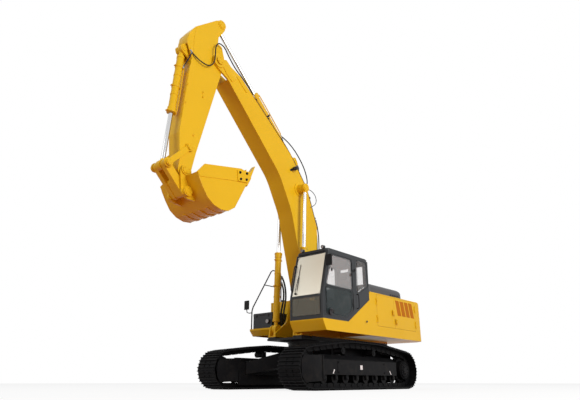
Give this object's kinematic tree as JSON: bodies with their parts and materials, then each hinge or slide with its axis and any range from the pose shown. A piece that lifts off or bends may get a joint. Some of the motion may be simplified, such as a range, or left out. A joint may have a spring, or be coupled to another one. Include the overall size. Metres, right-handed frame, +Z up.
{
  "type": "crawler excavator",
  "caption": "Crawler excavator with a slewing upper structure, glazed cab, bent mono boom, arm, digging bucket and hydraulic cylinders; yellow body, dark cab and undercarriage.",
  "frame": {"origin": "on the ground under the slewing axis, midway between the tracks", "axes": "+X forward along the boom, +Y to the left (cab side), +Z up"},
  "size_m": [8.6237, 3.38, 8.8611],
  "materials": {
    "undercarriage_black": "satin black paint",
    "bare_steel": "machined",
    "track_steel": "dull steel",
    "frame_black": "satin",
    "engine_alloy": "plain",
    "hood_black": "matt",
    "box_grey": "satin",
    "rail_black": "gloss black",
    "cab_grey": "satin",
    "glass": "tinted",
    "trim_black": "matt",
    "rod_chrome": "polished",
    "paint_yellow": "gloss yellow paint"
  },
  "bodies": {
    "undercarriage": {"car_body": "undercarriage_black", "slew_ring": "bare_steel", "track_frame_left": "undercarriage_black", "track_frame_right": "undercarriage_black", "track_left": "track_steel", "track_right": "track_steel", "final_drives": "undercarriage_black", "idlers": "track_steel", "track_rollers": "undercarriage_black"},
    "upper": {"main_frame": "paint_yellow", "counterweight": "paint_yellow", "house_frame": "frame_black", "engine_block": "engine_alloy", "top_cover": "paint_yellow", "front_panel": "paint_yellow", "tanks": "paint_yellow", "toolbox": "box_grey", "handrails": "rail_black", "cab_floor": "cab_grey", "cab_front_frame": "cab_grey", "cab_left_wall": "cab_grey", "cab_right_wall": "cab_grey", "cab_rear_wall": "cab_grey", "cab_roof": "cab_grey", "cab_glass": "glass", "operator_station": "trim_black"},
    "boom": {"boom": "paint_yellow", "boom_lamp": "trim_black", "boom_pipes": "rail_black"},
    "boom_barrels": {"boom_barrels": "paint_yellow"},
    "boom_rods": {"boom_rods": "rod_chrome"},
    "arm": {"arm": "paint_yellow"},
    "arm_barrel": {"arm_barrel": "paint_yellow"},
    "arm_rod": {"arm_rod": "rod_chrome"},
    "bucket_barrel": {"bucket_barrel": "paint_yellow"},
    "bucket_rod": {"bucket_rod": "rod_chrome"},
    "rockers": {"rockers": "paint_yellow"},
    "tip_link": {"tip_link": "paint_yellow"},
    "bucket": {"bucket": "paint_yellow"},
    "cab_door": {"cab_door": "cab_grey", "door_glass": "glass"},
    "engine_hood": {"engine_hood": "hood_black"},
    "left_door": {"left_door": "paint_yellow"},
    "radiator_door": {"radiator_door": "paint_yellow"},
    "pump_door": {"pump_door": "paint_yellow"}
  },
  "joints": [
    {"name": "slew", "type": "hinge", "parent": "undercarriage", "child": "upper", "pos_m": [0, 0, 1.1], "axis": [0, 0, 1], "continuous": true},
    {"name": "boom_hinge", "type": "hinge", "parent": "upper", "child": "boom", "pos_m": [0.35, 0, 2.15], "axis": [0, 1, 0], "range_deg": [0, 105]},
    {"name": "boom_cylinder_tilt", "type": "hinge", "parent": "upper", "child": "boom_barrels", "pos_m": [0.95, 0, 1.42], "axis": [0, 1, 0], "range_deg": [0, 104.78]},
    {"name": "boom_cylinder_stroke", "type": "slide", "parent": "boom_barrels", "child": "boom_rods", "axis": [-0.0391, 0, 0.9992], "range_m": [-1.5093, 0]},
    {"name": "arm_hinge", "type": "hinge", "parent": "boom", "child": "arm", "pos_m": [3.82507, 0, 7.58382], "axis": [0, -1, 0], "range_deg": [0, 95]},
    {"name": "arm_cylinder_tilt", "type": "hinge", "parent": "boom", "child": "arm_barrel", "pos_m": [0.82754, 0, 5.94068], "axis": [0, -1, 0], "range_deg": [-4.89, 0]},
    {"name": "arm_cylinder_stroke", "type": "slide", "parent": "arm_barrel", "child": "arm_rod", "axis": [0.7246, 0, 0.6892], "range_m": [-1.6915, 0]},
    {"name": "bucket_hinge", "type": "hinge", "parent": "arm", "child": "bucket", "pos_m": [4.56721, 0, 4.41969], "axis": [0, -1, 0], "range_deg": [0, 150]},
    {"name": "rocker_hinge", "type": "hinge", "parent": "arm", "child": "rockers", "pos_m": [4.49318, 0, 4.99806], "axis": [0, -1, 0], "range_deg": [0, 87.61]},
    {"name": "tip_link_hinge", "type": "hinge", "parent": "bucket", "child": "tip_link", "pos_m": [4.50124, 0, 3.94424], "axis": [0, -1, 0], "range_deg": [-120.91, 0]},
    {"name": "bucket_cylinder_tilt", "type": "hinge", "parent": "arm", "child": "bucket_barrel", "pos_m": [4.7698, 0, 7.49726], "axis": [0, -1, 0], "range_deg": [0, 3.69]},
    {"name": "bucket_cylinder_stroke", "type": "slide", "parent": "bucket_barrel", "child": "bucket_rod", "axis": [0.0785, 0, -0.9969], "range_m": [-1.0359, 0]},
    {"name": "cab_door_hinge", "type": "hinge", "parent": "upper", "child": "cab_door", "pos_m": [0.347, 1.545, 2.3], "axis": [0, 0, 1], "range_deg": [0, 95]},
    {"name": "hood_hinge", "type": "hinge", "parent": "upper", "child": "engine_hood", "pos_m": [-2.676, 0.23, 2.346], "axis": [0, -1, 0], "range_deg": [0, 70]},
    {"name": "left_door_hinge", "type": "hinge", "parent": "upper", "child": "left_door", "pos_m": [-0.724, 1.545, 1.9], "axis": [0, 0, -1], "range_deg": [0, 100]},
    {"name": "radiator_door_hinge", "type": "hinge", "parent": "upper", "child": "radiator_door", "pos_m": [-2.736, 1.545, 1.9], "axis": [0, 0, 1], "range_deg": [0, 100]},
    {"name": "pump_door_hinge", "type": "hinge", "parent": "upper", "child": "pump_door", "pos_m": [-2.736, -1.545, 1.9], "axis": [0, 0, -1], "range_deg": [0, 100]}
  ],
  "couplings": [
    {"joint": "boom_cylinder_tilt", "follows": "boom_hinge", "ratio": 0.99786},
    {"joint": "boom_cylinder_stroke", "follows": "boom_hinge", "m_per_rad": -0.81812},
    {"joint": "arm_cylinder_tilt", "follows": "arm_hinge", "ratio": -0.051332},
    {"joint": "arm_cylinder_stroke", "follows": "arm_hinge", "m_per_rad": -1.0141},
    {"joint": "rocker_hinge", "follows": "bucket_hinge", "ratio": 0.58399},
    {"joint": "tip_link_hinge", "follows": "bucket_hinge", "ratio": -0.80601},
    {"joint": "bucket_cylinder_tilt", "follows": "bucket_hinge", "ratio": 0.024519},
    {"joint": "bucket_cylinder_stroke", "follows": "bucket_hinge", "m_per_rad": -0.39185}
  ]
}
